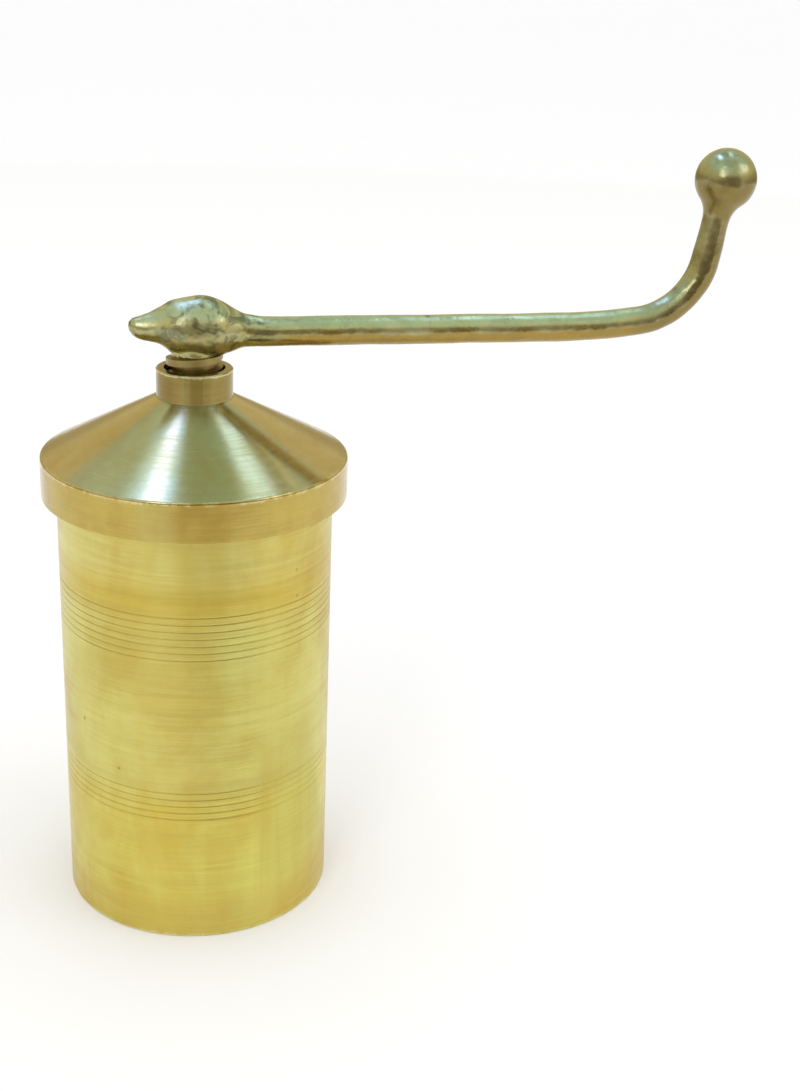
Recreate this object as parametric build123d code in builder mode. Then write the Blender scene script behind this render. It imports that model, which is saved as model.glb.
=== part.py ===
from build123d import *
from math import cos, floor, hypot, radians, sin
import os

# Sevai maker: a brass hand press for string noodles. A screw spindle, turned by a crank,
# drives a presser disc down a plain barrel and squeezes dough through a perforated die.
# Millimetres. The origin is the middle of the barrel's flat base, +Z is up the barrel's
# axis and +X is the way the crank arm points. The press is drawn nearly screwed down.

# Barrel: an open tube with an inward ledge at its foot
barrel_diameter = 76.0
barrel_wall = 3.0
barrel_height = 129.5
barrel_edge_break = 0.5
ledge_thickness = 3.0
ledge_width = 4.0

# Two bands of fine lines turned into the barrel, each placed by its middle
line_width = 0.6
line_depth = 0.1
upper_line_count = 7
upper_line_pitch = 2.05
upper_line_height = 92.65
lower_line_count = 5
lower_line_pitch = 2.03
lower_line_height = 42.3

# How far each thread's ridge is sunk in its bar, as a share of the ridge's depth
ridge_sink = 0.2

# Coarse thread between the barrel's rim and the cap's band
rim_thread_pitch = 2.0
rim_thread_depth = 1.0
rim_thread_crest = 0.5
rim_thread_base = 1.3
rim_thread_gap = 0.3
rim_thread_margin = 0.8
rim_thread_relief = 0.5

# Cap: a plain band, a straight cone and a neck that is the spindle's nut
cap_diameter = 84.0
cap_band_height = 10.8
cap_overlap = 8.2
cap_edge_radius = 0.8
cap_wall = 3.0
cone_rise = 16.3
neck_diameter = 20.8
neck_height = 7.8
neck_edge_break = 0.3
neck_mouth_diameter = 16.6
neck_mouth_depth = 4.0
nut_length = 19.2
nut_boss_diameter = 22.0

# Spindle: a single-start right-hand thread between two plain ends
spindle_diameter = 15.4
spindle_thread_depth = 1.5
spindle_lead = 4.0
spindle_crest = 1.8
spindle_base = 2.7
spindle_thread_gap = 0.25
spindle_thread_start = 1.56
tang_diameter = 9.0
tang_length = 11.0
journal_diameter = 9.0
tail_diameter = 8.0

# Die plate: a loose perforated disc on the barrel's ledge
die_thickness = 3.0
die_clearance = 0.3
die_hole_diameter = 1.6
die_hole_pitch = 4.0
die_hole_rings = 7
die_edge_break = 0.4

# Presser: a disc with a hub, in which the spindle's journal turns
dough_gap = 5.0
presser_clearance = 0.3
presser_thickness = 6.0
presser_edge_break = 0.6
hub_diameter = 22.0
hub_height = 12.0
hub_fillet = 2.0
journal_clearance = 0.15
recess_diameter = 19.2
recess_depth = 5.2

# Washers and nut that hold the presser on the spindle
thrust_washer_diameter = 20.0
thrust_washer_thickness = 1.5
retaining_washer_diameter = 17.0
retaining_washer_thickness = 1.0
washer_clearance = 0.2
swivel_play = 0.2
nut_across_flats = 13.0
nut_thickness = 3.7
nut_corner_diameter = 14.4

# Crank: one casting of a lemon-shaped boss, a round arm, a bend and a ball grip
crank_gap = 4.0
boss_axis_rise = 6.7
boss_diameter = 17.3
boss_widest = 1.8
boss_left_reach = 14.3
boss_right_reach = 10.6
boss_root_length = 15.0
boss_root_diameter = 7.8
boss_near_share = 0.5
boss_far_share = 0.8
boss_foot_diameter = 14.0
boss_foot_height = 3.0
snout_length = 17.5
snout_round = 2.3
snout_diameter = 6.1
arm_diameter = 8.0
arm_axis_rise = 5.4
arm_straight = 102.3
sag_radius = 180.0
sag_angle = 7.5
bend_radius = 21.8
grip_angle = 81.1
grip_rise = 21.7
stem_diameter = 7.4
ball_diameter = 17.1
ball_flare_length = 13.0
ball_flare_angle = 45.0
fit_clearance = 0.05

# Pin through the boss and the spindle's tang, blind at the front
pin_diameter = 3.0
pin_depth = 3.5
pin_edge_break = 0.3

# Heights up the axis
die_top = ledge_thickness + die_thickness
presser_base = die_top + dough_gap
presser_top = presser_base + presser_thickness
hub_top = presser_top + hub_height
shoulder = hub_top + thrust_washer_thickness
recess_top = presser_base + recess_depth
washer_top = recess_top - swivel_play
nut_top = washer_top - retaining_washer_thickness
nut_base = nut_top - nut_thickness
band_base = barrel_height - cap_overlap
band_top = band_base + cap_band_height
neck_base = band_top + cone_rise
neck_top = neck_base + neck_height
nut_boss_base = neck_top - nut_length
boss_seat = neck_top + crank_gap
boss_axis = boss_seat + boss_axis_rise
arm_axis = boss_seat + arm_axis_rise

# Radii
barrel_radius = barrel_diameter / 2
bore_radius = barrel_radius - barrel_wall
outlet_radius = bore_radius - ledge_width
cap_radius = cap_diameter / 2
neck_radius = neck_diameter / 2
nut_boss_radius = nut_boss_diameter / 2
spindle_radius = spindle_diameter / 2
spindle_root_radius = spindle_radius - spindle_thread_depth
tang_radius = tang_diameter / 2
journal_radius = journal_diameter / 2
tail_radius = tail_diameter / 2
boss_radius = boss_diameter / 2
arm_radius = arm_diameter / 2
stem_radius = stem_diameter / 2
ball_radius = ball_diameter / 2
pin_radius = pin_diameter / 2


def threaded_bar(root, crest, widths, pitch, start, climb, base, height):
    # A round bar with one helical ridge, as wide as the two widths at its foot and its
    # crest. The ridge's middle crosses +X at the start height and climbs from there, so
    # two bars whose starts are whole pitches apart are in step.
    foot_width, crest_width = widths
    depth = crest - root
    sunk_depth = ridge_sink * depth
    sunk_width = foot_width + ridge_sink * (foot_width - crest_width)
    with BuildPart(mode=Mode.PRIVATE) as bar:
        with BuildLine(Plane.XY.offset(start)) as path:
            Helix(pitch=pitch, height=climb, radius=root)
        with BuildSketch(Plane(origin=(root, 0, start), x_dir=(1, 0, 0), z_dir=(0, 1, 0))):
            with BuildLine():
                Polyline(
                    (-sunk_depth, -sunk_width / 2),
                    (depth, -crest_width / 2),
                    (depth, crest_width / 2),
                    (-sunk_depth, sunk_width / 2),
                    close=True,
                )
            make_face()
        sweep(path=path.line, is_frenet=True)
        with BuildSketch(Plane.XY.offset(base)):
            Circle(root)
        extrude(amount=height)
    return bar.part


def line_heights(count, pitch, middle):
    return [middle + (i - (count - 1) / 2) * pitch for i in range(count)]


def ring(inner_radius, outer_radius, base, top):
    with BuildPart(mode=Mode.PRIVATE) as washer:
        with BuildSketch(Plane.XY.offset(base)):
            Circle(outer_radius)
            Circle(inner_radius, mode=Mode.SUBTRACT)
        extrude(amount=top - base)
    return washer.part


# Barrel
rim_thread_foot = band_base + rim_thread_relief
rim_thread_start = rim_thread_foot + rim_thread_margin
rim_thread_climb = barrel_height - rim_thread_margin - rim_thread_start
rim_bar = threaded_bar(
    root=barrel_radius - rim_thread_depth,
    crest=barrel_radius,
    widths=(rim_thread_base, rim_thread_crest),
    pitch=rim_thread_pitch,
    start=rim_thread_start,
    climb=rim_thread_climb,
    base=rim_thread_foot,
    height=barrel_height - rim_thread_foot,
)
with BuildPart() as barrel:
    with BuildSketch():
        Circle(barrel_radius)
    extrude(amount=rim_thread_foot)
    add(rim_bar)
    with BuildSketch(Plane.XY.offset(ledge_thickness)):
        Circle(bore_radius)
    extrude(amount=barrel_height, mode=Mode.SUBTRACT)
    with BuildSketch():
        Circle(outlet_radius)
    extrude(amount=ledge_thickness, mode=Mode.SUBTRACT)
    base_edges = barrel.edges().filter_by(GeomType.CIRCLE).group_by(Axis.Z)[0]
    chamfer(base_edges, barrel_edge_break)
    upper_lines = line_heights(upper_line_count, upper_line_pitch, upper_line_height)
    lower_lines = line_heights(lower_line_count, lower_line_pitch, lower_line_height)
    with BuildSketch(Plane.XZ):
        for height in upper_lines + lower_lines:
            with BuildLine():
                Polyline(
                    (barrel_radius - line_depth, height),
                    (barrel_radius + line_depth, height - line_width),
                    (barrel_radius + line_depth, height + line_width),
                    close=True,
                )
            make_face()
    revolve(axis=Axis.Z, mode=Mode.SUBTRACT)

# Die plate
with BuildPart() as die_plate:
    with BuildSketch(Plane.XY.offset(ledge_thickness)):
        Circle(bore_radius - die_clearance)
    extrude(amount=die_thickness)
    chamfer(die_plate.edges(), die_edge_break)
    with BuildSketch(Plane.XY.offset(ledge_thickness)):
        Circle(die_hole_diameter / 2)
        for hole_ring in range(1, die_hole_rings + 1):
            with PolarLocations(hole_ring * die_hole_pitch, 6 * hole_ring):
                Circle(die_hole_diameter / 2)
    extrude(amount=die_thickness, mode=Mode.SUBTRACT)

# Cap: its outer form, less the hollow round the nut boss and the two threads
cone_slope = cone_rise / (cap_radius - neck_radius)
wall_drop = cap_wall * hypot(1, cone_slope)
hollow_edge = band_top + cone_slope * (cap_radius - bore_radius) - wall_drop
hollow_peak = band_top + cone_slope * (cap_radius - nut_boss_radius) - wall_drop
nut_start = shoulder + spindle_thread_start
turns_to_nut = floor((nut_boss_base - spindle_base - nut_start) / spindle_lead)
nut_cut_start = nut_start + turns_to_nut * spindle_lead
nut_cutter = threaded_bar(
    root=spindle_root_radius + spindle_thread_gap,
    crest=spindle_radius + spindle_thread_gap,
    widths=(spindle_base + 2 * spindle_thread_gap, spindle_crest + 2 * spindle_thread_gap),
    pitch=spindle_lead,
    start=nut_cut_start,
    climb=neck_top - nut_cut_start,
    base=nut_cut_start - 2 * spindle_base,
    height=neck_top - nut_cut_start + 4 * spindle_base,
)
band_cutter = threaded_bar(
    root=barrel_radius + rim_thread_gap,
    crest=barrel_radius + rim_thread_gap + rim_thread_depth,
    widths=(rim_thread_base, rim_thread_crest),
    pitch=rim_thread_pitch,
    start=rim_thread_start - rim_thread_pitch,
    climb=rim_thread_climb + rim_thread_pitch,
    base=band_base - rim_thread_pitch,
    height=cap_overlap + rim_thread_pitch,
)
with BuildPart() as cap:
    with BuildSketch(Plane.XZ):
        with BuildLine():
            Polyline(
                (0, band_base),
                (cap_radius, band_base),
                (cap_radius, band_top),
                (neck_radius, neck_base),
                (neck_radius, neck_top),
                (0, neck_top),
                close=True,
            )
        make_face()
    revolve(axis=Axis.Z)
    band_edge = cap.edges().filter_by_position(Axis.Z, band_top, band_top)
    fillet(band_edge, cap_edge_radius)
    neck_edge = cap.edges().filter_by_position(Axis.Z, neck_top, neck_top)
    chamfer(neck_edge, neck_edge_break)
    with BuildSketch(Plane.XZ):
        with BuildLine():
            Polyline(
                (0, band_base),
                (bore_radius, band_base),
                (bore_radius, hollow_edge),
                (nut_boss_radius, hollow_peak),
                (nut_boss_radius, nut_boss_base),
                (0, nut_boss_base),
                close=True,
            )
        make_face()
    revolve(axis=Axis.Z, mode=Mode.SUBTRACT)
    add(band_cutter, mode=Mode.SUBTRACT)
    add(nut_cutter, mode=Mode.SUBTRACT)
    with BuildSketch(Plane.XY.offset(neck_top)):
        Circle(neck_mouth_diameter / 2)
    extrude(amount=-neck_mouth_depth, mode=Mode.SUBTRACT)

# Spindle: its thread is made past the boss's seat and cut off there
with BuildPart() as spindle:
    add(
        threaded_bar(
            root=spindle_root_radius,
            crest=spindle_radius,
            widths=(spindle_base, spindle_crest),
            pitch=spindle_lead,
            start=nut_start,
            climb=boss_seat - nut_start + spindle_base,
            base=shoulder,
            height=boss_seat - shoulder + 2 * spindle_base,
        )
    )
    split(bisect_by=Plane.XY.offset(boss_seat), keep=Keep.BOTTOM)
    with BuildSketch(Plane.XY.offset(boss_seat)):
        Circle(tang_radius)
    extrude(amount=tang_length)
    with BuildSketch(Plane.XY.offset(washer_top)):
        Circle(journal_radius)
    extrude(amount=shoulder - washer_top)
    with BuildSketch(Plane.XY.offset(nut_base)):
        Circle(tail_radius)
    extrude(amount=washer_top - nut_base)
    with BuildSketch(Plane.XZ.offset(pin_depth)):
        with Locations((0, boss_axis)):
            Circle(pin_radius + fit_clearance)
    extrude(amount=-pin_depth - tang_diameter, mode=Mode.SUBTRACT)

# Crank
def boss_point(reach, share):
    # A point on the boss's elliptical outline, the given share of its reach from the middle
    return (boss_widest + share * reach, boss_radius * (1 - share**2) ** 0.5)


with BuildPart() as crank_handle:
    with BuildLine(Plane.XZ):
        straight = Line((0, arm_axis), (arm_straight, arm_axis))
        sag = JernArc(straight @ 1, straight % 1, sag_radius, sag_angle)
        bend = JernArc(sag @ 1, sag % 1, bend_radius, grip_angle - sag_angle)
    with BuildSketch(Plane.YZ):
        with Locations((0, arm_axis)):
            Circle(arm_radius)
    sweep()
    # The grip's outline, from the ball's middle: a stem that thins, a flare and the ball
    ball_middle = bend @ 1 + grip_rise * (bend % 1)
    flare_end = ball_radius * cos(radians(ball_flare_angle))
    flare_rise = ball_radius * sin(radians(ball_flare_angle))
    with BuildSketch(Plane(origin=ball_middle, x_dir=bend % 1, z_dir=(0, -1, 0))):
        with BuildLine():
            Line((-grip_rise, 0), (-grip_rise, arm_radius))
            Spline(
                (-grip_rise, arm_radius),
                (-ball_flare_length, stem_radius),
                (-flare_end, flare_rise),
                tangents=[(1, 0), (flare_rise, flare_end)],
            )
            ThreePointArc((-flare_end, flare_rise), (0, ball_radius), (ball_radius, 0))
            Line((ball_radius, 0), (-grip_rise, 0))
        make_face()
    revolve(axis=Axis(ball_middle, bend % 1))
    with BuildSketch(Plane(origin=(0, 0, boss_axis), x_dir=(1, 0, 0), z_dir=(0, -1, 0))):
        with BuildLine():
            tip = Line((-snout_length, 0), (-snout_length, snout_diameter / 2 - snout_round))
            tip_round = JernArc(tip @ 1, tip % 1, snout_round, -90)
            Spline(
                tip_round @ 1,
                boss_point(-boss_left_reach, boss_far_share),
                boss_point(-boss_left_reach, boss_near_share),
                (boss_widest, boss_radius),
                boss_point(boss_right_reach, boss_near_share),
                boss_point(boss_right_reach, boss_far_share),
                (boss_root_length, boss_root_diameter / 2),
                tangents=[(1, 0), (1, 0)],
            )
            Line((boss_root_length, boss_root_diameter / 2), (boss_root_length, 0))
            Line((boss_root_length, 0), (-snout_length, 0))
        make_face()
    revolve(axis=Axis((0, 0, boss_axis), (1, 0, 0)))
    split(bisect_by=Plane.XY.offset(boss_seat), keep=Keep.TOP)
    with BuildSketch(Plane.XY.offset(boss_seat)):
        Circle(boss_foot_diameter / 2)
    extrude(amount=boss_foot_height)
    with BuildSketch(Plane.XY.offset(boss_seat)):
        Circle(tang_radius + fit_clearance)
    extrude(amount=tang_length + fit_clearance, mode=Mode.SUBTRACT)
    # The pin's hole is drawn with its seam on top, where the boss is cut cleanly
    pin_end = Plane(origin=(0, -pin_depth, boss_axis), x_dir=(0, 0, 1), z_dir=(0, 1, 0))
    with BuildSketch(pin_end):
        Circle(pin_radius + fit_clearance)
    extrude(amount=pin_depth + boss_diameter, mode=Mode.SUBTRACT)

# Pin, driven in from the back of the boss
with BuildPart() as crank_pin:
    with BuildSketch(Plane.XZ.offset(pin_depth - fit_clearance)):
        with Locations((0, boss_axis)):
            Circle(pin_radius)
    extrude(amount=fit_clearance - pin_depth - boss_radius)
    chamfer(crank_pin.edges().group_by(Axis.Y)[-1], pin_edge_break)

# Presser
with BuildPart() as presser_plate:
    with BuildSketch(Plane.XY.offset(presser_base)):
        Circle(bore_radius - presser_clearance)
    extrude(amount=presser_thickness)
    chamfer(presser_plate.edges(), presser_edge_break)
    with BuildSketch(Plane.XY.offset(presser_top)):
        Circle(hub_diameter / 2)
    extrude(amount=hub_height)
    hub_foot = presser_plate.edges().filter_by_position(Axis.Z, presser_top, presser_top)
    fillet(hub_foot.sort_by(SortBy.RADIUS)[0], hub_fillet)
    with BuildSketch(Plane.XY.offset(presser_base)):
        Circle(recess_diameter / 2)
    extrude(amount=recess_depth, mode=Mode.SUBTRACT)
    with BuildSketch(Plane.XY.offset(hub_top)):
        Circle(journal_radius + journal_clearance)
    extrude(amount=-hub_height - presser_thickness, mode=Mode.SUBTRACT)

# Washers
thrust_washer_inner = journal_radius + washer_clearance
with BuildPart() as thrust_washer:
    add(ring(thrust_washer_inner, thrust_washer_diameter / 2, hub_top, shoulder))
retaining_washer_inner = tail_radius + washer_clearance
with BuildPart() as retaining_washer:
    add(ring(retaining_washer_inner, retaining_washer_diameter / 2, nut_top, washer_top))

# Nut on the spindle's tail, its corners turned off
with BuildPart() as retaining_nut:
    with BuildSketch(Plane.XY.offset(nut_base)):
        RegularPolygon(nut_across_flats / 2, 6, major_radius=False)
    extrude(amount=nut_thickness)
    with BuildSketch(Plane.XY.offset(nut_base)):
        Circle(nut_corner_diameter / 2)
        Circle(tail_radius + fit_clearance, mode=Mode.SUBTRACT)
    extrude(amount=nut_thickness, mode=Mode.INTERSECT)

pieces = {
    "barrel": barrel,
    "die_plate": die_plate,
    "cap": cap,
    "spindle": spindle,
    "crank_handle": crank_handle,
    "crank_pin": crank_pin,
    "presser_plate": presser_plate,
    "thrust_washer": thrust_washer,
    "retaining_washer": retaining_washer,
    "retaining_nut": retaining_nut,
}
os.makedirs("parts", exist_ok=True)
for name, piece in pieces.items():
    piece.part.label = name
    export_step(piece.part, f"parts/{name}.step")

turn_down = crank_gap / spindle_lead
turn_up = (nut_boss_base - shoulder) / spindle_lead
print(f"boss meets the neck after {turn_down:.2f} turns down")
print(f"thrust washer meets the cap's nut boss after {turn_up:.2f} turns up")
print(f"cap lift that frees the presser: {barrel_height - presser_base:.1f} mm")
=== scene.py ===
import bpy
import bmesh
from math import cos, hypot, radians, sin, sqrt
from mathutils import Matrix, Vector, noise


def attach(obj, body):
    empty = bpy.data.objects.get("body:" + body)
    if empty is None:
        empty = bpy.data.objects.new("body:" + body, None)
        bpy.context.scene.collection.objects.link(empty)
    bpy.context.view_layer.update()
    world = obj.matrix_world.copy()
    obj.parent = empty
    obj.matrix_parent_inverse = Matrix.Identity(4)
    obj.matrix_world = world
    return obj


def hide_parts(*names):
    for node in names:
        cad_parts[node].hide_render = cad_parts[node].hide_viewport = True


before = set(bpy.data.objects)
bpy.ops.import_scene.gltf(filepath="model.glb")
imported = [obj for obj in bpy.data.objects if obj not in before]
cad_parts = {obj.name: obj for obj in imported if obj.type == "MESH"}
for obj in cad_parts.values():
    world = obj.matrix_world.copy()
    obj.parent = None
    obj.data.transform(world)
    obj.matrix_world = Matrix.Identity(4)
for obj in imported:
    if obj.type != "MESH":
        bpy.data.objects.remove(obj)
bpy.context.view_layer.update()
mm = 0.001
print("frame loaded:", len(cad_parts), "nodes")

# camera, where the photograph was taken from: turned about the press, then yawed,
# pitched and rolled (metres and degrees, the lens and its sensor in millimetres)
cameraView = {
    "distance": 0.41514,
    "height": 0.26788,
    "azimuth": -5.5,
    "yaw": 7.94,
    "pitch": 21.38,
    "roll": 2.36,
    "lens": 51.81,
    "sensor": 36.0,
    "clip": (0.02, 40.0),
}
# the camera and the studio are turned about the press together
cameraTurn = Matrix.Rotation(radians(cameraView["azimuth"]), 4, "Z")


def makeCamera(view):
    data = bpy.data.cameras.new("camera")
    data.sensor_fit = "VERTICAL"
    data.sensor_height = view["sensor"]
    data.sensor_width = view["sensor"]
    data.lens = view["lens"]
    data.clip_start, data.clip_end = view["clip"]
    camera = bpy.data.objects.new("camera", data)
    bpy.context.scene.collection.objects.link(camera)
    place = Matrix.Translation((0, -view["distance"], view["height"]))
    turn = (
        Matrix.Rotation(radians(-view["yaw"]), 4, "Z")
        @ Matrix.Rotation(radians(90 - view["pitch"]), 4, "X")
        @ Matrix.Rotation(radians(view["roll"]), 4, "Z")
    )
    camera.matrix_world = cameraTurn @ place @ turn
    bpy.context.scene.camera = camera


makeCamera(cameraView)
bpy.context.scene.view_settings.view_transform = "Standard"
print("camera set")


# node helpers: an input takes a number, a colour or another node's output
def feed(tree, socket, value):
    if isinstance(value, bpy.types.NodeSocket):
        tree.links.new(value, socket)
    else:
        socket.default_value = value


def put(tree, kind, place, inputs=None, **settings):
    node = tree.nodes.new(kind)
    node.location = place
    for name, value in settings.items():
        setattr(node, name, value)
    for name, value in (inputs or {}).items():
        feed(tree, node.inputs[name], value)
    return node


def calc(tree, operation, place, *values):
    node = put(tree, "ShaderNodeMath", place, operation=operation)
    for socket, value in zip(node.inputs, values):
        feed(tree, socket, value)
    return node.outputs[0]


def remap(tree, place, value, low, high, to=(0.0, 1.0)):
    # eased from one end to the other
    node = put(
        tree, "ShaderNodeMapRange", place,
        {"Value": value, "From Min": low, "From Max": high, "To Min": to[0], "To Max": to[1]},
        interpolation_type="SMOOTHSTEP",
    )
    return node.outputs["Result"]


def blendColors(tree, place, share, first, second):
    # for colours, the mix node's inputs are 0, 6 and 7, and its output is 2
    inputs = {0: share, 6: first, 7: second}
    return put(tree, "ShaderNodeMix", place, inputs, data_type="RGBA").outputs[2]


# most of a noise's values lie between these
noiseReach = (0.3, 0.7)


def addNoise(tree, place, inputs, **settings):
    return put(tree, "ShaderNodeTexNoise", place, inputs, **settings).outputs[0]


def objectCoords(tree, place):
    return put(tree, "ShaderNodeTexCoord", place).outputs["Object"]


def splitVector(tree, place, vector):
    return put(tree, "ShaderNodeSeparateXYZ", place, {"Vector": vector}).outputs


def joinVector(tree, place, x, y, z):
    return put(tree, "ShaderNodeCombineXYZ", place, {"X": x, "Y": y, "Z": z}).outputs[0]


def axisDistance(tree, place, parts):
    # distance from the lathe's axis
    x, y = place
    out = calc(tree, "POWER", (x, y + 80), parts["X"], 2.0)
    side = calc(tree, "POWER", (x, y - 80), parts["Y"], 2.0)
    return calc(tree, "SQRT", (x + 320, y), calc(tree, "ADD", (x + 160, y), out, side))


def startGroup(name, inputs, outputs):
    group = bpy.data.node_groups.new(name, "ShaderNodeTree")
    sockets = group.interface
    for title, value in inputs.items():
        socket = sockets.new_socket(title, in_out="INPUT", socket_type="NodeSocketFloat")
        socket.default_value = value
    for title in outputs:
        sockets.new_socket(title, in_out="OUTPUT", socket_type="NodeSocketFloat")
    entry = put(group, "NodeGroupInput", (-900, 0))
    leave = put(group, "NodeGroupOutput", (900, 0))
    return group, entry.outputs, leave.inputs


def makeTurningMarks():
    # fine rings that a lathe tool leaves, on walls, cones and flat faces alike
    group, given, out = startGroup(
        "turningMarks", {"Pitch": 0.0012, "Drift": 14.0}, ["Height", "Tone"]
    )
    broadShare, fineShare = 0.55, 0.45
    toneReach = (0.36, 0.66)
    parts = splitVector(group, (-1540, -300), objectCoords(group, (-1700, -300)))
    radius = axisDistance(group, (-1380, -300), parts)
    along = calc(group, "SUBTRACT", (-860, -300), radius, parts["Z"])
    rings = calc(group, "DIVIDE", (-700, -300), along, given["Pitch"])
    aroundX = calc(group, "MULTIPLY", (-700, -460), parts["X"], given["Drift"])
    aroundY = calc(group, "MULTIPLY", (-700, -620), parts["Y"], given["Drift"])
    drawnOut = joinVector(group, (-520, -300), aroundX, aroundY, rings)
    broad = addNoise(
        group, (-340, -200),
        {"Vector": drawnOut, "Scale": 1.0, "Detail": 2.0, "Roughness": 0.55},
    )
    fine = addNoise(
        group, (-340, -460),
        {"Vector": drawnOut, "Scale": 4.3, "Detail": 3.0, "Roughness": 0.65},
    )
    fineHeight = calc(group, "MULTIPLY", (-160, -460), fine, fineShare)
    height = calc(group, "MULTIPLY_ADD", (0, -300), broad, broadShare, fineHeight)
    feed(group, out["Height"], height)
    feed(group, out["Tone"], remap(group, (200, -460), fine, *toneReach))
    return group


def makePatches():
    # cloudy patches of deeper gold, drawn out up and down by wiping, and thin streaks in them
    group, given, out = startGroup(
        "patches", {"Size": 0.03, "Stretch": 2.0, "Cover": 0.5, "Seed": 0.0}, ["Mask", "Streaks"]
    )
    bareThreshold, coverReach, edgeSoftness = 0.82, 0.6, 0.14
    streakFineness, streakReach = 7.0, (0.42, 0.68)
    parts = splitVector(group, (-1540, -300), objectCoords(group, (-1700, -300)))
    density = calc(group, "DIVIDE", (-860, -120), 1.0, given["Size"])
    tall = calc(group, "DIVIDE", (-700, -120), density, given["Stretch"])
    x = calc(group, "MULTIPLY", (-540, -160), parts["X"], density)
    y = calc(group, "MULTIPLY", (-540, -320), parts["Y"], density)
    z = calc(group, "MULTIPLY", (-540, -480), parts["Z"], tall)
    cloud = addNoise(
        group, (-200, -160),
        {"Vector": joinVector(group, (-380, -300), x, y, z), "W": given["Seed"], "Scale": 1.0,
         "Detail": 5.0, "Roughness": 0.6, "Distortion": 0.6},
        noise_dimensions="4D",
    )
    lowered = calc(group, "MULTIPLY", (-360, 60), given["Cover"], coverReach)
    threshold = calc(group, "SUBTRACT", (-200, 60), bareThreshold, lowered)
    low = calc(group, "SUBTRACT", (-40, 60), threshold, edgeSoftness)
    high = calc(group, "ADD", (-40, 200), threshold, edgeSoftness)
    feed(group, out["Mask"], remap(group, (160, -100), cloud, low, high))
    fineX = calc(group, "MULTIPLY", (-540, -660), x, streakFineness)
    fineY = calc(group, "MULTIPLY", (-540, -820), y, streakFineness)
    streaks = addNoise(
        group, (-200, -600),
        {"Vector": joinVector(group, (-380, -700), fineX, fineY, z), "W": given["Seed"],
         "Scale": 1.0, "Detail": 3.0, "Roughness": 0.6},
        noise_dimensions="4D",
    )
    feed(group, out["Streaks"], remap(group, (160, -600), streaks, *streakReach))
    return group


def makeSpecks():
    # scattered small pits and stains
    group, given, out = startGroup(
        "specks", {"Spacing": 0.008, "Share": 0.3, "Size": 0.18}, ["Mask"]
    )
    unevenness, edgeSoftness = 0.0012, 0.06
    coords = objectCoords(group, (-1100, -200))
    density = calc(group, "DIVIDE", (-700, 0), 1.0, given["Spacing"])
    warp = put(
        group, "ShaderNodeTexNoise", (-900, -300),
        {"Vector": coords, "Scale": 400.0, "Detail": 2.0},
    )
    shifted = put(
        group, "ShaderNodeVectorMath", (-700, -260),
        {0: warp.outputs["Color"], 1: (unevenness, unevenness, unevenness), 2: coords},
        operation="MULTIPLY_ADD",
    )
    cells = put(
        group, "ShaderNodeTexVoronoi", (-500, -100),
        {"Vector": shifted.outputs[0], "Scale": density, "Randomness": 1.0},
    )
    pick = put(group, "ShaderNodeSeparateColor", (-300, -260), {"Color": cells.outputs["Color"]})
    chosen = calc(group, "LESS_THAN", (-120, -260), pick.outputs[0], given["Share"])
    reach = calc(group, "MULTIPLY", (-120, -420), pick.outputs[1], given["Size"])
    dot = calc(group, "SUBTRACT", (60, -100), reach, cells.outputs["Distance"])
    soft = remap(group, (220, -100), dot, 0.0, edgeSoftness)
    feed(group, out["Mask"], calc(group, "MULTIPLY", (420, -100), soft, chosen))
    return group


def makeEdgeShine():
    # a painted highlight line round a turned edge, where it is also worn, given by its radius and
    # height
    group, given, out = startGroup(
        "edgeShine", {"Radius": 0.04, "Height": 0.1, "Width": 0.0012}, ["Mask"]
    )
    fullShine, chippedWidths = 0.2, (0.3, 1.6)
    coords = objectCoords(group, (-1700, -200))
    parts = splitVector(group, (-1540, -200), coords)
    radius = axisDistance(group, (-1380, -200), parts)
    outward = calc(group, "SUBTRACT", (-760, -100), radius, given["Radius"])
    upward = calc(group, "SUBTRACT", (-760, -260), parts["Z"], given["Height"])
    outwardSquare = calc(group, "POWER", (-600, -100), outward, 2.0)
    upwardSquare = calc(group, "POWER", (-600, -260), upward, 2.0)
    both = calc(group, "ADD", (-440, -180), outwardSquare, upwardSquare)
    away = calc(group, "SQRT", (-300, -180), both)
    chips = addNoise(
        group, (-440, -400),
        {"Vector": coords, "Scale": 260.0, "Detail": 4.0, "Roughness": 0.7},
    )
    uneven = remap(group, (-260, -400), chips, *noiseReach, chippedWidths)
    reach = calc(group, "MULTIPLY", (-80, -300), given["Width"], uneven)
    near = calc(group, "DIVIDE", (80, -200), away, reach)
    feed(group, out["Mask"], remap(group, (260, -200), near, 1.0, fullShine))
    return group


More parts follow.
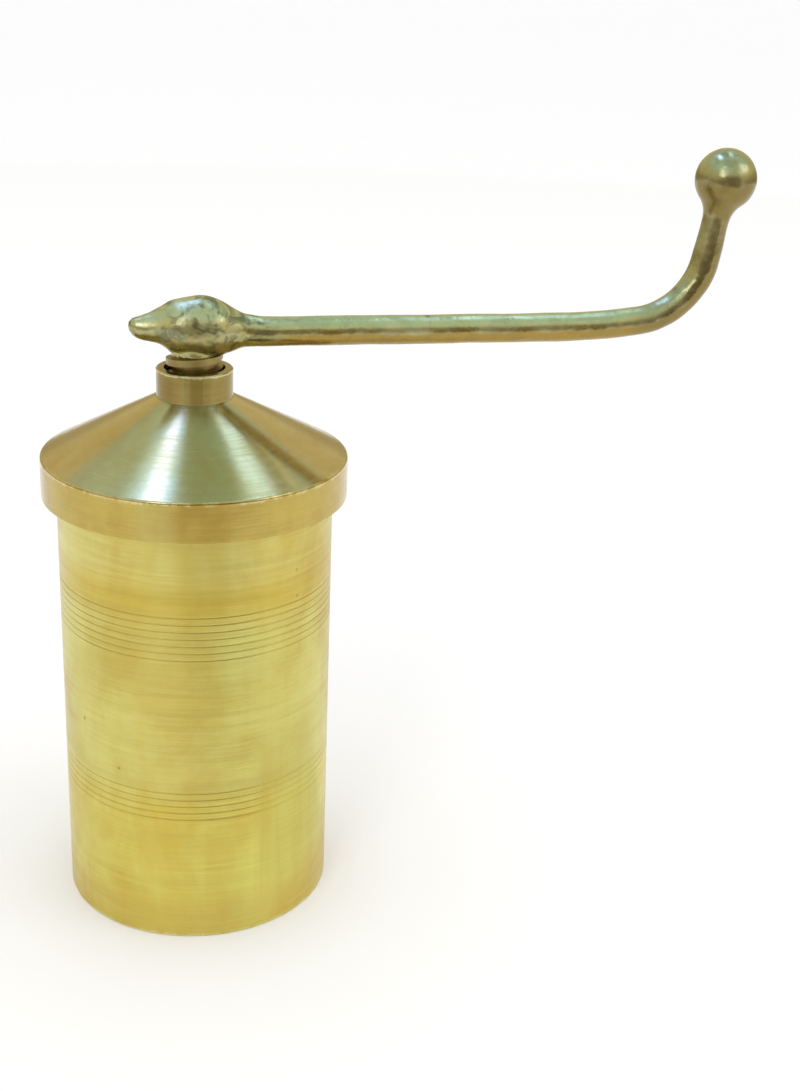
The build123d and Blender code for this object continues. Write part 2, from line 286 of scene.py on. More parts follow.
def makeLineDirt():
    # tarnish that polishing leaves in a band of evenly spaced turned lines
    group, given, out = startGroup(
        "lineDirt", {"Middle": 0.09, "Pitch": 0.002, "Count": 7.0, "Width": 0.0004}, ["Mask"]
    )
    fullDirt = 0.25
    parts = splitVector(group, (-1540, -200), objectCoords(group, (-1700, -200)))
    fromMiddle = calc(group, "SUBTRACT", (-760, -100), parts["Z"], given["Middle"])
    lastLine = calc(group, "SUBTRACT", (-900, -260), given["Count"], 1.0)
    halfSpan = calc(group, "MULTIPLY", (-760, -260), lastLine, 0.5)
    pitches = calc(group, "DIVIDE", (-600, -100), fromMiddle, given["Pitch"])
    steps = calc(group, "ADD", (-440, -100), pitches, halfSpan)
    nearest = calc(group, "ROUND", (-280, -220), steps)
    limited = calc(group, "MINIMUM", (-120, -220), nearest, lastLine)
    line = calc(group, "MAXIMUM", (20, -220), limited, 0.0)
    fromLine = calc(group, "SUBTRACT", (180, -100), steps, line)
    away = calc(group, "ABSOLUTE", (320, -100), fromLine)
    distance = calc(group, "MULTIPLY", (460, -100), away, given["Pitch"])
    near = calc(group, "DIVIDE", (600, -100), distance, given["Width"])
    feed(group, out["Mask"], remap(group, (740, -100), near, 1.0, fullDirt))
    return group


groups = {
    "turningMarks": makeTurningMarks(),
    "patches": makePatches(),
    "specks": makeSpecks(),
    "edgeShine": makeEdgeShine(),
    "lineDirt": makeLineDirt(),
}


def useGroup(tree, name, place, inputs):
    return put(tree, "ShaderNodeGroup", place, inputs, node_tree=groups[name]).outputs


print("node groups made")

# finishes: colours are linear, edges, lines and zone heights in millimetres, other sizes
# in metres
turnedFinish = {
    "barrelBrass": {
        "zones": [  # height where it starts, pale colour, gold colour
            (0.0, (0.70, 0.60, 0.15, 1), (0.66, 0.48, 0.09, 1)),
            (12.0, (0.73, 0.68, 0.17, 1), (0.67, 0.51, 0.09, 1)),
            (44.0, (0.70, 0.65, 0.20, 1), (0.64, 0.52, 0.12, 1)),
            (98.0, (0.66, 0.53, 0.11, 1), (0.62, 0.46, 0.08, 1)),
            (107.0, (0.71, 0.65, 0.21, 1), (0.65, 0.52, 0.12, 1)),
        ],
        "zoneSoftness": 9.0,
        "stain": (0.36, 0.24, 0.06, 1),
        # colour of the painted highlight along the worn edges
        "shine": (0.84, 0.80, 0.46, 1),
        "patchSize": 0.036,
        "patchStretch": 1.6,
        "cover": 0.5,
        "seed": 3.0,
        "roughness": (0.30, 0.44),
        "markPitch": 0.0013,
        "markDepth": 0.00003,
        "speckShare": 0.14,
        "anisotropy": 0.7,
        "edges": [(38.0, 0.25, 0.9)],  # radius, height, width
        "lines": [(92.65, 2.05, 7), (42.3, 2.03, 5)],  # middle height, pitch, count
        "lineDirt": 0.04,
    },
    "capBrass": {
        "zones": [
            (0.0, (0.52, 0.40, 0.10, 1), (0.46, 0.32, 0.07, 1)),
            (132.0, (0.66, 0.58, 0.34, 1), (0.60, 0.48, 0.20, 1)),
            (148.4, (0.30, 0.23, 0.065, 1), (0.25, 0.17, 0.045, 1)),
        ],
        "zoneSoftness": 0.5,
        "stain": (0.28, 0.18, 0.05, 1),
        "shine": (0.80, 0.72, 0.42, 1),
        "patchSize": 0.022,
        "patchStretch": 0.9,
        "cover": 0.45,
        "seed": 7.0,
        "roughness": (0.13, 0.24),
        "markPitch": 0.0011,
        "markDepth": 0.000012,
        "speckShare": 0.05,
        "anisotropy": 0.75,
        "edges": [(41.6, 131.8, 0.9), (10.4, 156.0, 0.6)],
        "lines": [],
        "lineDirt": 0.0,
    },
    "screwBrass": {
        "zones": [(0.0, (0.38, 0.31, 0.13, 1), (0.31, 0.23, 0.075, 1))],
        "zoneSoftness": 1.0,
        "stain": (0.16, 0.11, 0.04, 1),
        "shine": (0.74, 0.66, 0.40, 1),
        "patchSize": 0.010,
        "patchStretch": 0.6,
        "cover": 0.6,
        "seed": 12.0,
        "roughness": (0.26, 0.42),
        "markPitch": 0.0006,
        "markDepth": 0.00002,
        "speckShare": 0.3,
        "anisotropy": 0.3,
        "edges": [],
        "lines": [],
        "lineDirt": 0.0,
    },
    "innerBrass": {
        "zones": [(0.0, (0.60, 0.49, 0.19, 1), (0.52, 0.37, 0.10, 1))],
        "zoneSoftness": 1.0,
        "stain": (0.26, 0.17, 0.06, 1),
        "shine": (0.80, 0.72, 0.42, 1),
        "patchSize": 0.026,
        "patchStretch": 1.0,
        "cover": 0.6,
        "seed": 21.0,
        "roughness": (0.34, 0.5),
        "markPitch": 0.0009,
        "markDepth": 0.00005,
        "speckShare": 0.3,
        "anisotropy": 0.5,
        "edges": [],
        "lines": [],
        "lineDirt": 0.0,
    },
    "washerBrass": {
        "zones": [(0.0, (0.64, 0.55, 0.26, 1), (0.56, 0.43, 0.14, 1))],
        "zoneSoftness": 1.0,
        "stain": (0.30, 0.20, 0.07, 1),
        "shine": (0.84, 0.78, 0.50, 1),
        "patchSize": 0.008,
        "patchStretch": 1.0,
        "cover": 0.4,
        "seed": 34.0,
        "roughness": (0.22, 0.36),
        "markPitch": 0.0005,
        "markDepth": 0.00002,
        "speckShare": 0.2,
        "anisotropy": 0.6,
        "edges": [],
        "lines": [],
        "lineDirt": 0.0,
    },
}

# how strongly each effect shows, the same on all turned pieces
turnedWear = {
    "streakShare": 0.3,
    "toneShare": 0.1,
    "speckDirt": 0.5,
    "lineWidth": 0.42 * mm,
    "edgeShine": 0.7,
    "patchRoughness": 0.06,
    "dirtRoughness": 0.25,
    "markStrength": 0.5,
    "pitStrength": 0.6,
    "pitDepth": 0.0002,
    "coat": 0.2,
    "coatRoughness": 0.12,
}


def startMaterial(name):
    material = bpy.data.materials.new(name)
    material.use_nodes = True
    material.node_tree.nodes.clear()
    return material, material.node_tree


def closeMaterial(tree, place, shader):
    put(tree, "ShaderNodeOutputMaterial", place, {"Surface": shader.outputs[0]})


def blendZones(tree, place, position, look):
    # the two colours of each zone, blended into the next zone's along the piece
    x, y = place
    half = look["zoneSoftness"] / 2
    first, second = look["zones"][0][1:]
    for start, nextFirst, nextSecond in look["zones"][1:]:
        share = remap(tree, (x, y), position, (start - half) * mm, (start + half) * mm)
        first = blendColors(tree, (x + 200, y + 100), share, first, nextFirst)
        second = blendColors(tree, (x + 400, y + 100), share, second, nextSecond)
        y += 250
    return first, second


def makeTurnedBrass(name, look, wear):
    # turned brass: pale and gold patches, tool marks, pits, dirt in lines, and painted highlights
    # on worn edges
    material, tree = startMaterial(name)
    patches = useGroup(
        tree, "patches", (-1300, 300),
        {"Size": look["patchSize"], "Stretch": look["patchStretch"], "Cover": look["cover"],
         "Seed": look["seed"]},
    )
    marks = useGroup(tree, "turningMarks", (-1300, -200), {"Pitch": look["markPitch"]})
    specks = useGroup(tree, "specks", (-1300, -500), {"Share": look["speckShare"]})
    height = splitVector(tree, (-1700, 700), objectCoords(tree, (-1900, 700)))["Z"]
    pale, gold = blendZones(tree, (-1500, 700), height, look)
    color = blendColors(tree, (-1000, 400), patches["Mask"], pale, gold)
    streaks = calc(tree, "MULTIPLY", (-1000, 200), patches["Streaks"], wear["streakShare"])
    color = blendColors(tree, (-800, 400), streaks, color, gold)
    tone = calc(tree, "MULTIPLY", (-1000, -100), marks["Tone"], wear["toneShare"])
    color = blendColors(tree, (-600, 400), tone, color, look["stain"])
    dirt = calc(tree, "MULTIPLY", (-1000, -500), specks["Mask"], wear["speckDirt"])
    for i, (middle, pitch, count) in enumerate(look["lines"]):
        y = -700 - 250 * i
        line = useGroup(
            tree, "lineDirt", (-1300, y),
            {"Middle": middle * mm, "Pitch": pitch * mm, "Count": float(count),
             "Width": wear["lineWidth"]},
        )
        lineShare = calc(tree, "MULTIPLY", (-1000, y), line["Mask"], look["lineDirt"])
        dirt = calc(tree, "MAXIMUM", (-800, y), dirt, lineShare)
    color = blendColors(tree, (-400, 400), dirt, color, look["stain"])
    # painted highlight lines round the turned edges, where they are also worn
    for i, (radius, edgeHeight, width) in enumerate(look["edges"]):
        y = 700 + 250 * i
        wornEdgeHighlight = useGroup(
            tree, "edgeShine", (-700, y),
            {"Radius": radius * mm, "Height": edgeHeight * mm, "Width": width * mm},
        )
        shine = calc(tree, "MULTIPLY", (-400, y), wornEdgeHighlight["Mask"], wear["edgeShine"])
        color = blendColors(tree, (-200, y), shine, color, look["shine"])
    rough = remap(tree, (-600, 0), marks["Height"], *noiseReach, look["roughness"])
    rough = calc(
        tree, "MULTIPLY_ADD", (-400, 0), patches["Mask"], wear["patchRoughness"], rough
    )
    rough = calc(tree, "MULTIPLY_ADD", (-200, 0), dirt, wear["dirtRoughness"], rough)
    marked = put(
        tree, "ShaderNodeBump", (-200, -300),
        {"Strength": wear["markStrength"], "Distance": look["markDepth"],
         "Height": marks["Height"]},
    )
    pitted = put(
        tree, "ShaderNodeBump", (0, -300),
        {"Strength": wear["pitStrength"], "Distance": wear["pitDepth"], "Height": specks["Mask"],
         "Normal": marked.outputs[0]},
        invert=True,
    )
    shader = put(
        tree, "ShaderNodeBsdfPrincipled", (200, 200),
        {"Base Color": color, "Metallic": 1.0, "Roughness": rough, "Normal": pitted.outputs[0],
         "Anisotropic": look["anisotropy"], "Anisotropic Rotation": 0.25,
         "Coat Weight": wear["coat"], "Coat Roughness": wear["coatRoughness"]},
    )
    closeMaterial(tree, (500, 200), shader)
    return material


materials = {name: makeTurnedBrass(name, look, turnedWear) for name, look in turnedFinish.items()}

castFinish = {
    # both colours of each zone are painted reflections: the table's gold underneath, the ceiling's
    # green on top
    "zones": [  # where it starts along the crank, the colour underneath and the colour on top
        (-20.0, (0.40, 0.36, 0.14, 1), (0.62, 0.64, 0.41, 1)),
        (24.0, (0.36, 0.245, 0.055, 1), (0.64, 0.68, 0.43, 1)),
        (124.0, (0.25, 0.185, 0.055, 1), (0.50, 0.51, 0.32, 1)),
    ],
    "zoneSoftness": 14.0,
    # share of the painted ceiling reflection, by how far a face looks up
    "ceilingReflectionReach": (0.25, 0.85),  # how far a face looks up, with the cloud's unevenness added
    "ceilingReflectionUnevenness": 0.9,
    "stain": (0.26, 0.18, 0.06, 1),
    "stainReach": (0.55, 0.78),
    "stainShare": 0.45,
    "mottle": (0.13, 0.14, 0.075, 1),
    "mottleReach": (0.44, 0.62),
    "mottleFade": (14.0, 24.0),  # along the crank, from the boss's share to the arm's
    "mottleShares": (0.8, 0.15),
    "specks": {"Spacing": 0.004, "Share": 0.3, "Size": 0.22},
    "speckDirt": 0.6,
    "roughness": (0.20, 0.36),
    "dirtRoughness": 0.3,
    "lumpSize": 0.0045,
    "lumpDepth": 0.0009,
    "lumpStrength": 0.35,
    "pitDepth": 0.00015,
    "pitStrength": 0.5,
    "coat": 0.25,
    "coatRoughness": 0.2,
}


def makeCastBrass(name, look):
    # polished casting: painted reflections, the ceiling's green where it faces up and the warm
    # table's gold underneath, with shallow dents
    material, tree = startMaterial(name)
    coords = put(tree, "ShaderNodeTexCoord", (-1500, 0)).outputs
    along = splitVector(tree, (-1300, 500), coords["Object"])["X"]
    upright = splitVector(tree, (-1300, 200), coords["Normal"])["Z"]
    cloud = addNoise(
        tree, (-1300, 0),
        {"Vector": coords["Object"], "Scale": 90.0, "Detail": 5.0, "Roughness": 0.65,
         "Distortion": 0.5},
    )
    # painted reflection: faces that look up take the ceiling's colour, the rest take the table's
    shifted = calc(tree, "MULTIPLY_ADD", (-1100, 100), cloud, look["ceilingReflectionUnevenness"], upright)
    upward = remap(tree, (-900, 100), shifted, *look["ceilingReflectionReach"])
    tableReflection, top = blendZones(tree, (-1100, 500), along, look)
    color = blendColors(tree, (-700, 200), upward, tableReflection, top)
    specks = useGroup(tree, "specks", (-1300, -300), look["specks"])
    grime = addNoise(
        tree, (-1300, -600),
        {"Vector": coords["Object"], "Scale": 260.0, "Detail": 6.0, "Roughness": 0.7},
    )
    stain = remap(
        tree, (-1100, -600), grime, *look["stainReach"], (0.0, look["stainShare"])
    )
    speckDirt = calc(tree, "MULTIPLY", (-900, -300), specks["Mask"], look["speckDirt"])
    dirt = calc(tree, "MAXIMUM", (-700, -300), stain, speckDirt)
    # dull green patches, mostly on the boss, where the casting was only dressed by hand
    blotch = addNoise(
        tree, (-1300, -1000),
        {"Vector": coords["Object"], "Scale": 190.0, "Detail": 3.0, "Roughness": 0.6,
         "Distortion": 0.8},
    )
    near, far = look["mottleFade"]
    onBoss = remap(tree, (-1100, -1200), along, near * mm, far * mm, look["mottleShares"])
    patch = remap(tree, (-1100, -1000), blotch, *look["mottleReach"])
    mottled = calc(tree, "MULTIPLY", (-900, -1000), patch, onBoss)
    color = blendColors(tree, (-600, 200), mottled, color, look["mottle"])
    color = blendColors(tree, (-500, 200), dirt, color, look["stain"])
    rough = remap(tree, (-700, -50), cloud, *noiseReach, look["roughness"])
    rough = calc(tree, "MULTIPLY_ADD", (-500, -50), dirt, look["dirtRoughness"], rough)
    dents = addNoise(
        tree, (-900, -800),
        {"Vector": coords["Object"], "Scale": 1 / look["lumpSize"], "Detail": 2.0,
         "Roughness": 0.4},
    )
    dented = put(
        tree, "ShaderNodeBump", (-300, -300),
        {"Strength": look["lumpStrength"], "Distance": look["lumpDepth"], "Height": dents},
    )
    pitted = put(
        tree, "ShaderNodeBump", (-100, -300),
        {"Strength": look["pitStrength"], "Distance": look["pitDepth"],
         "Height": specks["Mask"], "Normal": dented.outputs[0]},
        invert=True,
    )
    shader = put(
        tree, "ShaderNodeBsdfPrincipled", (200, 200),
        {"Base Color": color, "Metallic": 1.0, "Roughness": rough, "Normal": pitted.outputs[0],
         "Coat Weight": look["coat"], "Coat Roughness": look["coatRoughness"]},
    )
    closeMaterial(tree, (500, 200), shader)
    return material


materials["crankBrass"] = makeCastBrass("crankBrass", castFinish)
print("materials made")


# crank: one casting, drawn as rings along its length, in millimetres and degrees
crank = {
    "ringSegments": 64,
    "rings": [  # x, height of the middle and radius, from the snout's tip to the arm
        (-17.6, 167.65, 0.25),
        (-17.3, 167.6, 1.3),
        (-16.3, 167.4, 2.4),
        (-14.6, 167.15, 3.05),
        (-12.0, 167.25, 3.7),
        (-9.35, 167.55, 4.8),
        (-6.7, 167.4, 6.55),
        (-4.0, 167.0, 7.8),
        (0.0, 166.9, 8.5),
        (2.6, 166.95, 8.65),
        (5.3, 166.95, 8.15),
        (8.0, 166.85, 6.9),
        (10.6, 166.3, 5.7),
        (13.3, 166.05, 4.6),
        (15.5, 165.9, 4.3),
        (18.0, 165.7, 4.1),
        (21.5, 165.6, 4.0),
        (26.0, 165.6, 4.0),
        (31.0, 165.6, 4.0),
    ],
    "ringStep": 0.8,
    "armHeight": 165.6,
    "armRadius": 4.0,
    "armEnd": 102.3,
    "armStep": 2.5,
    "sag": (180.0, 7.5, 9),  # radius, the heading it ends on and its rings
    "bend": (21.8, 81.1, 29),
    "stem": 21.7,  # from the bend's end to the ball's middle
    "stemRadius": 3.7,
    "stemRings": 6,
    "flare": 13.0,  # where the stem starts to widen, before the ball's middle
    "flareRings": 12,
    "ballRadius": 8.55,
    "ballMeet": 45.0,  # where the flare meets the ball, from the ball's near pole
    "ballTip": 1.0,  # where the last ring is, from its far pole
    "ballRings": 30,
    "bossAxis": 166.9,
    "seat": 160.2,
    "footRadius": 7.0,
    "footFade": 4.0,  # depth under the boss's axis over which the foot takes over
    "footReach": 2.5,  # how far under the seat it goes on, before the seat is cut
    "lumpDepth": 0.36,
    "lumpSize": 7.5,
    "fineLumps": (0.4, 2.3),  # share, and how much finer they are
    "armLumps": 0.3,
    "lumpFade": (12.0, 20.0),  # along the crank, from the boss's lumps to the arm's
    "pinClear": 2.2,  # no lumps this near the pin's axis at the back
    "pinFade": 2.0,
}


def limitShare(share):
    return max(0.0, min(1.0, share))


def ease(t):
    return t * t * (3 - 2 * t)


def smoothPoints(points, step):
    # a smooth line through the points, by Catmull-Rom, with a point about every step
    ends = [[2 * a - b for a, b in zip(points[0], points[1])], *points]
    ends.append([2 * a - b for a, b in zip(points[-1], points[-2])])
    line = []
    for before, first, second, after in zip(ends, ends[1:], ends[2:], ends[3:]):
        count = max(1, round((second[0] - first[0]) / step))
        for i in range(count):
            t = i / count
            line.append([
                0.5 * (
                    2 * q + (r - p) * t
                    + (2 * p - 5 * q + 4 * r - s) * t**2
                    + (3 * q - p - 3 * r + s) * t**3
                )
                for p, q, r, s in zip(before, first, second, after)
            ])
    line.append(list(points[-1]))
    return line


def crankStations(shape):
    # middle, heading (degrees above level) and radius of each ring, in millimetres
    arm = shape["armRadius"]
    lofted = smoothPoints(shape["rings"], shape["ringStep"])
    stations = [(x, z, 0.0, radius) for x, z, radius in lofted]
    x, z, heading = stations[-1][0], shape["armHeight"], 0.0
    while x < shape["armEnd"] - shape["armStep"]:
        x += shape["armStep"]
        stations.append((x, z, heading, arm))
    x = shape["armEnd"]
    stations.append((x, z, heading, arm))
    for radius, last, rings in (shape["sag"], shape["bend"]):
        begin, fromX, fromZ = heading, x, z
        for i in range(1, rings + 1):
            heading = begin + (last - begin) * i / rings
            x = fromX + radius * (sin(radians(heading)) - sin(radians(begin)))
            z = fromZ + radius * (cos(radians(begin)) - cos(radians(heading)))
            stations.append((x, z, heading, arm))

    def addRing(reach, radius):
        # reach is measured from the bend's end towards the ball
        along, up = cos(radians(heading)), sin(radians(heading))
        stations.append((x + reach * along, z + reach * up, heading, radius))

    stem, ball = shape["stemRadius"], shape["ballRadius"]
    neck = shape["stem"] - shape["flare"]
    for i in range(1, shape["stemRings"] + 1):
        t = i / shape["stemRings"]
        addRing(neck * t, arm - (arm - stem) * ease(t))
    meet = radians(shape["ballMeet"])
    length = shape["flare"] - ball * cos(meet)
    for i in range(1, shape["flareRings"] + 1):
        # cubic that leaves the stem level and meets the ball with a slope of one
        t = i / shape["flareRings"]
        side = stem * (1 - ease(t)) + ball * sin(meet) * ease(t) + length * (t**3 - t**2)
        addRing(neck + length * t, side)
    first = 180 - shape["ballMeet"]
    for i in range(1, shape["ballRings"] + 1):
        turn = radians(first - (first - shape["ballTip"]) * i / shape["ballRings"])
        addRing(shape["stem"] + ball * cos(turn), ball * sin(turn))
    return stations


def ringMatrix(x, z, heading, radius):
    tip = Matrix.Rotation(radians(-heading), 4, "Y") @ Matrix.Rotation(radians(90), 4, "Y")
    return Matrix.Translation((x * mm, 0, z * mm)) @ tip @ Matrix.Scale(radius * mm, 4)


def addFoot(mesh, shape):
    # the boss stands on a round foot: its sides run straight down to the seat
    bossAxis = shape["bossAxis"] * mm
    lowest = (shape["seat"] - shape["footReach"]) * mm
    for vert in mesh.verts:
        x, y, z = vert.co
        inside = (shape["footRadius"] * mm) ** 2 - x**2
        if y == 0 or inside <= 0 or not lowest < z < bossAxis:
            continue
        foot = sqrt(inside)
        if abs(y) < foot:
            outward = (foot - abs(y)) * ease(limitShare((bossAxis - z) / (shape["footFade"] * mm)))
            vert.co.y += outward if y > 0 else -outward


def addLumps(mesh, shape):
    # hand-dressed casting: shallow lumps, most on the boss
    fineShare, fineness = shape["fineLumps"]
    bossEnd, armStart = shape["lumpFade"]
    mesh.normal_update()
    moves = []
    for vert in mesh.verts:
        x, y, z = vert.co
        spot = vert.co / (shape["lumpSize"] * mm)
        fineSpot = spot * fineness + Vector((5, 3, 1))
        swell = noise.noise(spot) + fineShare * noise.noise(fineSpot)
        onBoss = limitShare((armStart * mm - x) / ((armStart - bossEnd) * mm))
        swell *= shape["lumpDepth"] * mm * (shape["armLumps"] + (1 - shape["armLumps"]) * onBoss)
        if y > 0:  # filed smooth round the pin's end at the back
            fromPin = hypot(x, z - shape["bossAxis"] * mm)
            swell *= limitShare((fromPin - shape["pinClear"] * mm) / (shape["pinFade"] * mm))
        moves.append((vert, vert.normal * swell))
    for vert, move in moves:
        vert.co += move


def cutSeat(mesh, height):
    geometry = mesh.verts[:] + mesh.edges[:] + mesh.faces[:]
    cut = bmesh.ops.bisect_plane(
        mesh, geom=geometry, dist=1e-7, plane_co=(0, 0, height), plane_no=(0, 0, 1),
        clear_inner=True,
    )
    rim = [item for item in cut["geom_cut"] if isinstance(item, bmesh.types.BMEdge)]
    bmesh.ops.contextual_create(mesh, geom=rim)
    bmesh.ops.remove_doubles(mesh, verts=mesh.verts, dist=1e-7)


def makeCrank(shape):
    mesh = bmesh.new()
    stations = crankStations(shape)
    last = ringMatrix(*stations[0])
    bmesh.ops.create_circle(
        mesh, cap_ends=True, segments=shape["ringSegments"], radius=1.0, matrix=last
    )
    edges = mesh.edges[:]
    for station in stations[1:]:
        grown = bmesh.ops.extrude_edge_only(mesh, edges=edges)["geom"]
        verts = [item for item in grown if isinstance(item, bmesh.types.BMVert)]
        edges = [item for item in grown if isinstance(item, bmesh.types.BMEdge)]
        here = ringMatrix(*station)
        bmesh.ops.transform(mesh, matrix=here @ last.inverted(), verts=verts)
        last = here
    bmesh.ops.contextual_create(mesh, geom=edges)
    addFoot(mesh, shape)
    addLumps(mesh, shape)
    cutSeat(mesh, shape["seat"] * mm)
    bmesh.ops.recalc_face_normals(mesh, faces=mesh.faces)
    data = bpy.data.meshes.new("crank")
    mesh.to_mesh(data)
    mesh.free()
    data.shade_smooth()
    piece = bpy.data.objects.new("crank", data)
    bpy.context.scene.collection.objects.link(piece)
    piece.data.materials.append(materials["crankBrass"])
    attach(piece, "spindle")
    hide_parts("crank_handle")


makeCrank(crank)
print("crank made")

# finishes of the turned pieces that stay as they are
nodeFinish = {
    "barrel": "barrelBrass",
    "cap": "capBrass",
    "spindle": "screwBrass",
    "crank_pin": "screwBrass",
    "die_plate": "innerBrass",
    "presser_plate": "innerBrass",
    "thrust_washer": "washerBrass",
    "retaining_washer": "washerBrass",
    "retaining_nut": "washerBrass",
}
for nodeName, finish in nodeFinish.items():
    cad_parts[nodeName].data.materials.clear()
    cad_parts[nodeName].data.materials.append(materials[finish])
print("finishes assigned")


# studio: pale floor, white surroundings, and a plain room that only the metal sees
def makeStagePiece(name, mesh, material, onlyInMetal=True):
    data = bpy.data.meshes.new(name)
    mesh.to_mesh(data)
    mesh.free()
    data.materials.append(material)
    piece = bpy.data.objects.new(name, data)
    bpy.context.scene.collection.objects.link(piece)
    if onlyInMetal:
        piece.visible_camera = False
        piece.visible_diffuse = False
        piece.visible_shadow = False


floor = {
    "radius": 30.0,
    "segments": 96,
    "color": (0.98, 0.98, 0.98, 1),
    "roughness": 0.8,
    "shine": 0.1,
}


def makeFloor(look):
    material = bpy.data.materials.new("paleFloor")
    material.use_nodes = True
    inputs = material.node_tree.nodes["Principled BSDF"].inputs
    inputs["Base Color"].default_value = look["color"]
    inputs["Roughness"].default_value = look["roughness"]
    inputs["Specular IOR Level"].default_value = look["shine"]
    mesh = bmesh.new()
    bmesh.ops.create_circle(
        mesh, cap_ends=True, segments=look["segments"], radius=look["radius"]
    )
    makeStagePiece("floor", mesh, material, onlyInMetal=False)


makeFloor(floor)

world = bpy.data.worlds.new("studio")
world.use_nodes = True
bpy.context.scene.world = world
world.node_tree.nodes["Background"].inputs["Color"].default_value = (1, 1, 1, 1)
world.node_tree.nodes["Background"].inputs["Strength"].default_value = 1.0

# the room: heights in metres, colours as they shine
room = {
    "radius": 1.5,
    "floor": 0.002,
    "ceiling": 1.75,
    "segments": 64,
    "bands": [  # height where it starts, colour
        (0.0, (0.44, 0.36, 0.18, 1)),
        (0.42, (0.66, 0.57, 0.31, 1)),
        (1.25, (0.50, 0.58, 0.48, 1)),
    ],
    "bandSoftness": 0.34,
    "ceilingSeam": 0.22,
    "ceilingDark": (0.46, 0.54, 0.40, 1),
    "ceilingPale": (0.62, 0.74, 0.62, 1),
    "cloudReach": (0.35, 0.65),
}


def makeRoom(look):
    material, tree = startMaterial("roomLight")
    coords = objectCoords(tree, (-1400, 0))
    height = splitVector(tree, (-1200, 0), coords)["Z"]
    half = look["bandSoftness"] / 2
    color = look["bands"][0][1]
    for i, (start, nextColor) in enumerate(look["bands"][1:]):
        share = remap(tree, (-1000, 250 * i), height, start - half, start + half)
        color = blendColors(tree, (-800, 250 * i), share, color, nextColor)
    cloud = addNoise(
        tree, (-1000, -400), {"Vector": coords, "Scale": 1.6, "Detail": 2.0, "Roughness": 0.5}
    )
    mottle = remap(tree, (-800, -400), cloud, *look["cloudReach"])
    overhead = blendColors(
        tree, (-600, -400), mottle, look["ceilingDark"], look["ceilingPale"]
    )
    top = remap(
        tree, (-800, -700), height, look["ceiling"] - look["ceilingSeam"], look["ceiling"]
    )
    color = blendColors(tree, (-400, 0), top, color, overhead)
    glow = put(tree, "ShaderNodeEmission", (-200, 0), {"Color": color, "Strength": 1.0})
    closeMaterial(tree, (0, 0), glow)
    mesh = bmesh.new()
    bmesh.ops.create_circle(
        mesh, cap_ends=False, segments=look["segments"], radius=look["radius"],
        matrix=Matrix.Translation((0, 0, look["floor"])),
    )
    grown = bmesh.ops.extrude_edge_only(mesh, edges=mesh.edges[:])["geom"]
    rim = [item for item in grown if isinstance(item, bmesh.types.BMEdge)]
    verts = [item for item in grown if isinstance(item, bmesh.types.BMVert)]
    bmesh.ops.translate(mesh, vec=(0, 0, look["ceiling"]), verts=verts)
    bmesh.ops.contextual_create(mesh, geom=rim)
    makeStagePiece("room", mesh, material)


makeRoom(room)

lookAt = Vector((0, 0, 0.13))


def aimedFrom(place):
    # stands at the place and faces the press
    aimed = (lookAt - place).to_track_quat("-Z", "Y").to_matrix().to_4x4()
    return Matrix.Translation(place) @ aimed


def makeGlow(name, color, level):
    material, tree = startMaterial(name)
    glow = put(tree, "ShaderNodeEmission", (0, 0), {"Color": (*color, 1), "Strength": level})
    closeMaterial(tree, (200, 0), glow)
    return material


def makeSheet(name, size, matrix, look):
    mesh = bmesh.new()
    bmesh.ops.create_grid(mesh, x_segments=1, y_segments=1, size=0.5)
    bmesh.ops.scale(mesh, vec=(*size, 1), verts=mesh.verts)
    bmesh.ops.transform(mesh, matrix=matrix, verts=mesh.verts)
    makeStagePiece(name, mesh, makeGlow(name, look["color"], look["level"]))


# windows and dark patches: degrees right of the camera and above the press, then metres
cards = {
    "leftWindow": {
        "azimuth": -15.0, "elevation": 42.0, "distance": 1.30, "size": (0.42, 0.5),
        "color": (0.92, 1.0, 0.94), "level": 0.9,
    },
    "frontLeftLamp": {
        "azimuth": -18.5, "elevation": 57.6, "distance": 1.20, "size": (0.12, 0.12),
        "color": (0.86, 0.96, 1.0), "level": 2.2,
    },
    "rightLamp": {
        "azimuth": 69.0, "elevation": 44.0, "distance": 1.30, "size": (0.14, 0.14),
        "color": (0.86, 0.96, 1.0), "level": 2.2,
    },
    "frontDark": {
        "azimuth": 8.0, "elevation": 8.0, "distance": 0.56, "size": (0.95, 0.40),
        "color": (0.24, 0.19, 0.10), "level": 1.0,
    },
}
for cardName, look in cards.items():
    turn, rise = radians(look["azimuth"]), radians(look["elevation"])
    away = Vector((sin(turn) * cos(rise), -cos(turn) * cos(rise), sin(rise))) * look["distance"]
    place = lookAt + cameraTurn.to_3x3() @ away
    makeSheet(cardName, look["size"], aimedFrom(place), look)

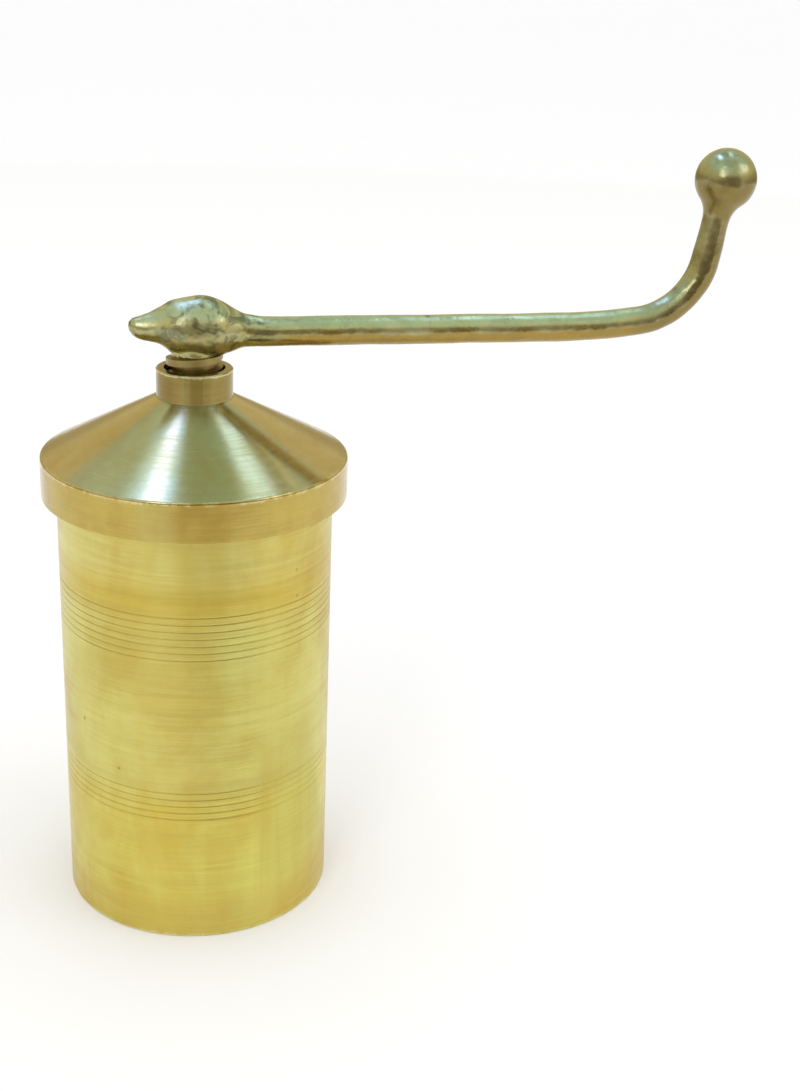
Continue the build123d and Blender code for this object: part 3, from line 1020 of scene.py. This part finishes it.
# strips under the ceiling, that make the cone's fan: left and right edges, near and far ends
stripHeight = 1.66
strips = {
    "paleLeftEdge": {
        "across": (-0.56, -0.41), "along": (0.1, 1.1), "color": (0.50, 0.78, 1.0), "level": 1.45,
    },
    "brightLeft": {
        "across": (-0.41, -0.26), "along": (0.1, 1.1), "color": (0.36, 0.475, 1.0), "level": 6.9,
    },
    "paleLeft": {
        "across": (-0.26, -0.17), "along": (0.1, 1.1), "color": (0.30, 0.55, 1.0), "level": 2.5,
    },
    "darkMiddle": {
        "across": (-0.14, 0.39), "along": (0.1, 1.1), "color": (0.36, 0.48, 0.34), "level": 1.0,
    },
    "paleRight": {
        "across": (0.42, 0.66), "along": (0.1, 1.1), "color": (0.55, 0.775, 1.0), "level": 2.0,
    },
    "darkRight": {
        "across": (0.69, 0.84), "along": (0.3, 1.2), "color": (0.26, 0.23, 0.10), "level": 1.0,
    },
    "thinRight": {
        "across": (0.84, 0.885), "along": (0.3, 1.2), "color": (0.80, 0.86, 0.60), "level": 1.9,
    },
    "darkFarRight": {
        "across": (0.885, 0.97), "along": (0.3, 1.1), "color": (0.30, 0.26, 0.12), "level": 1.0,
    },
}
for stripName, look in strips.items():
    left, right = look["across"]
    near, far = look["along"]
    middle = Matrix.Translation(((left + right) / 2, (near + far) / 2, stripHeight))
    makeSheet(stripName, (right - left, far - near), cameraTurn @ middle, look)

# light and shade on the floor, that the upright walls reflect: degrees round the press,
# near and far ends
floorPatchHeight = 0.004
floorPatches = {
    "floorGlow": {"turn": (-42.0, -15.0), "reach": (0.14, 1.3), "color": (1.08, 1.16, 1.30)},
    "floorShade": {"turn": (-13.0, 24.0), "reach": (0.17, 1.3), "color": (0.96, 0.93, 0.80)},
    "nearShade": {"turn": (40.0, 105.0), "reach": (0.055, 0.13), "color": (0.84, 0.80, 0.74)},
}
for patchName, look in floorPatches.items():
    begin, end = look["turn"]
    near, far = look["reach"]
    mesh = bmesh.new()
    bmesh.ops.create_grid(mesh, x_segments=8, y_segments=1, size=0.5)
    for vert in mesh.verts:
        turn = radians(begin + (end - begin) * (vert.co.x + 0.5))
        reach = near + (far - near) * (0.5 - vert.co.y)
        vert.co = (sin(turn) * reach, -cos(turn) * reach, floorPatchHeight)
    bmesh.ops.transform(mesh, matrix=cameraTurn, verts=mesh.verts)
    makeStagePiece(patchName, mesh, makeGlow(patchName, look["color"], 1.0))

# soft lamps: metres and watts
lamps = {
    "windowLamp": {"place": (-0.75, -1.2, 0.9), "size": (0.5, 1.3), "power": 4.0},
    "fillLamp": {"place": (1.3, -0.7, 0.9), "size": (0.8, 0.8), "power": 2.5},
}
for lampName, look in lamps.items():
    data = bpy.data.lights.new(lampName, "AREA")
    data.shape = "RECTANGLE"
    data.size, data.size_y = look["size"]
    data.energy = look["power"]
    lamp = bpy.data.objects.new(lampName, data)
    bpy.context.scene.collection.objects.link(lamp)
    lamp.matrix_world = aimedFrom(Vector(look["place"]))
print("studio made")
